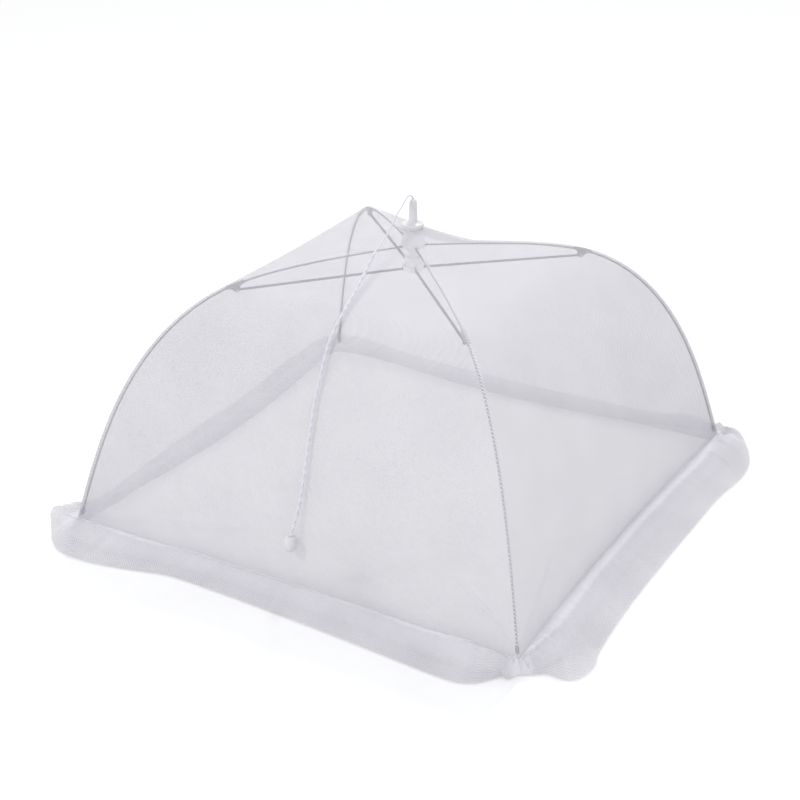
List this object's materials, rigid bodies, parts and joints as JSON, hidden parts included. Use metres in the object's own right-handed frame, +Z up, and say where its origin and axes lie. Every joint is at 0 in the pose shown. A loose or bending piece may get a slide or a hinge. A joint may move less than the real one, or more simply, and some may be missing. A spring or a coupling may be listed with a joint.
{
  "type": "mesh food cover umbrella",
  "caption": "Square tent of white netting on folding wire ribs, with a padded hem, a plastic crown and a pull cord with a bead.",
  "frame": {"origin": "centre of the cover's footprint on the table", "axes": "+Z up through the crown; the sides lie along X and Y, the ribs on the diagonals, and the pull cord hangs on the -Y side"},
  "size_m": [0.4772, 0.4772, 0.2652],
  "materials": {
    "milky_plastic": "milky, slightly translucent",
    "rib_wire": "black satin enamel",
    "stretcher_steel": "dark grey satin",
    "pin_steel": "bright",
    "tip_plastic": "black",
    "netting": "fine white tulle, see-through",
    "hem_cloth": "gathered tulle in two layers",
    "cord": "thin twisted cord",
    "bead_plastic": "smooth white"
  },
  "bodies": {
    "crown": {"crown": "milky_plastic", "top_cap": "milky_plastic", "front_right_crown_pin": "pin_steel", "back_right_crown_pin": "pin_steel", "back_left_crown_pin": "pin_steel", "front_left_crown_pin": "pin_steel", "pull_cord": "cord", "inner_cord": "cord"},
    "runner": {"runner": "milky_plastic", "cord_stop": "cord"},
    "front_right_rib": {"front_right_rib": "rib_wire", "front_right_rib_bracket": "rib_wire", "front_right_bracket_rivet": "pin_steel", "front_right_rib_tip": "tip_plastic", "front_panel_right": "netting", "right_panel_front": "netting", "front_right_hem": "hem_cloth"},
    "front_right_stretcher": {"front_right_stretcher": "stretcher_steel", "front_right_runner_pin": "pin_steel"},
    "back_right_rib": {"back_right_rib": "rib_wire", "back_right_rib_bracket": "rib_wire", "back_right_bracket_rivet": "pin_steel", "back_right_rib_tip": "tip_plastic", "right_panel_back": "netting", "back_panel_right": "netting", "back_right_hem": "hem_cloth"},
    "back_right_stretcher": {"back_right_stretcher": "stretcher_steel", "back_right_runner_pin": "pin_steel"},
    "back_left_rib": {"back_left_rib": "rib_wire", "back_left_rib_bracket": "rib_wire", "back_left_bracket_rivet": "pin_steel", "back_left_rib_tip": "tip_plastic", "back_panel_left": "netting", "left_panel_back": "netting", "back_left_hem": "hem_cloth"},
    "back_left_stretcher": {"back_left_stretcher": "stretcher_steel", "back_left_runner_pin": "pin_steel"},
    "front_left_rib": {"front_left_rib": "rib_wire", "front_left_rib_bracket": "rib_wire", "front_left_bracket_rivet": "pin_steel", "front_left_rib_tip": "tip_plastic", "left_panel_front": "netting", "front_panel_left": "netting", "front_left_hem": "hem_cloth"},
    "front_left_stretcher": {"front_left_stretcher": "stretcher_steel", "front_left_runner_pin": "pin_steel"},
    "pull_bead": {"pull_bead": "bead_plastic"}
  },
  "joints": [
    {"name": "front_right_rib_fold", "type": "hinge", "parent": "crown", "child": "front_right_rib", "pos_m": [0.00509, -0.00509, 0.22199], "axis": [0.7071, 0.7071, 0], "range_deg": [0, 46], "deforming": ["front_panel_right", "right_panel_front", "front_right_hem"]},
    {"name": "front_right_stretcher_swing", "type": "hinge", "parent": "front_right_rib", "child": "front_right_stretcher", "pos_m": [0.10219, -0.10219, 0.19905], "axis": [-0.7071, -0.7071, 0], "range_deg": [0, 102.57]},
    {"name": "back_right_rib_fold", "type": "hinge", "parent": "crown", "child": "back_right_rib", "pos_m": [0.00509, 0.00509, 0.22199], "axis": [-0.7071, 0.7071, 0], "range_deg": [0, 46], "deforming": ["right_panel_back", "back_panel_right", "back_right_hem"]},
    {"name": "back_right_stretcher_swing", "type": "hinge", "parent": "back_right_rib", "child": "back_right_stretcher", "pos_m": [0.10219, 0.10219, 0.19905], "axis": [0.7071, -0.7071, 0], "range_deg": [0, 102.57]},
    {"name": "back_left_rib_fold", "type": "hinge", "parent": "crown", "child": "back_left_rib", "pos_m": [-0.00509, 0.00509, 0.22199], "axis": [-0.7071, -0.7071, 0], "range_deg": [0, 46], "deforming": ["back_panel_left", "left_panel_back", "back_left_hem"]},
    {"name": "back_left_stretcher_swing", "type": "hinge", "parent": "back_left_rib", "child": "back_left_stretcher", "pos_m": [-0.10219, 0.10219, 0.19905], "axis": [0.7071, 0.7071, 0], "range_deg": [0, 102.57]},
    {"name": "front_left_rib_fold", "type": "hinge", "parent": "crown", "child": "front_left_rib", "pos_m": [-0.00509, -0.00509, 0.22199], "axis": [0.7071, -0.7071, 0], "range_deg": [0, 46], "deforming": ["left_panel_front", "front_panel_left", "front_left_hem"]},
    {"name": "front_left_stretcher_swing", "type": "hinge", "parent": "front_left_rib", "child": "front_left_stretcher", "pos_m": [-0.10219, -0.10219, 0.19905], "axis": [-0.7071, 0.7071, 0], "range_deg": [0, 102.57]},
    {"name": "runner_slide", "type": "slide", "parent": "crown", "child": "runner", "axis": [0, 0, -1], "range_m": [0, 0.2079], "deforming": ["inner_cord"]},
    {"name": "bead_slide", "type": "slide", "parent": "crown", "child": "pull_bead", "axis": [-0.0044, 0.4996, 0.8663], "range_m": [0, 0.2022], "deforming": ["pull_cord"]}
  ],
  "couplings": [
    {"joint": "front_right_stretcher_swing", "follows": "front_right_rib_fold", "ratio": 2.2297},
    {"joint": "back_right_rib_fold", "follows": "front_right_rib_fold", "ratio": 1},
    {"joint": "back_right_stretcher_swing", "follows": "front_right_rib_fold", "ratio": 2.2297},
    {"joint": "back_left_rib_fold", "follows": "front_right_rib_fold", "ratio": 1},
    {"joint": "back_left_stretcher_swing", "follows": "front_right_rib_fold", "ratio": 2.2297},
    {"joint": "front_left_rib_fold", "follows": "front_right_rib_fold", "ratio": 1},
    {"joint": "front_left_stretcher_swing", "follows": "front_right_rib_fold", "ratio": 2.2297},
    {"joint": "runner_slide", "follows": "front_right_rib_fold", "m_per_rad": 0.25892},
    {"joint": "bead_slide", "follows": "front_right_rib_fold", "m_per_rad": 0.25183}
  ]
}
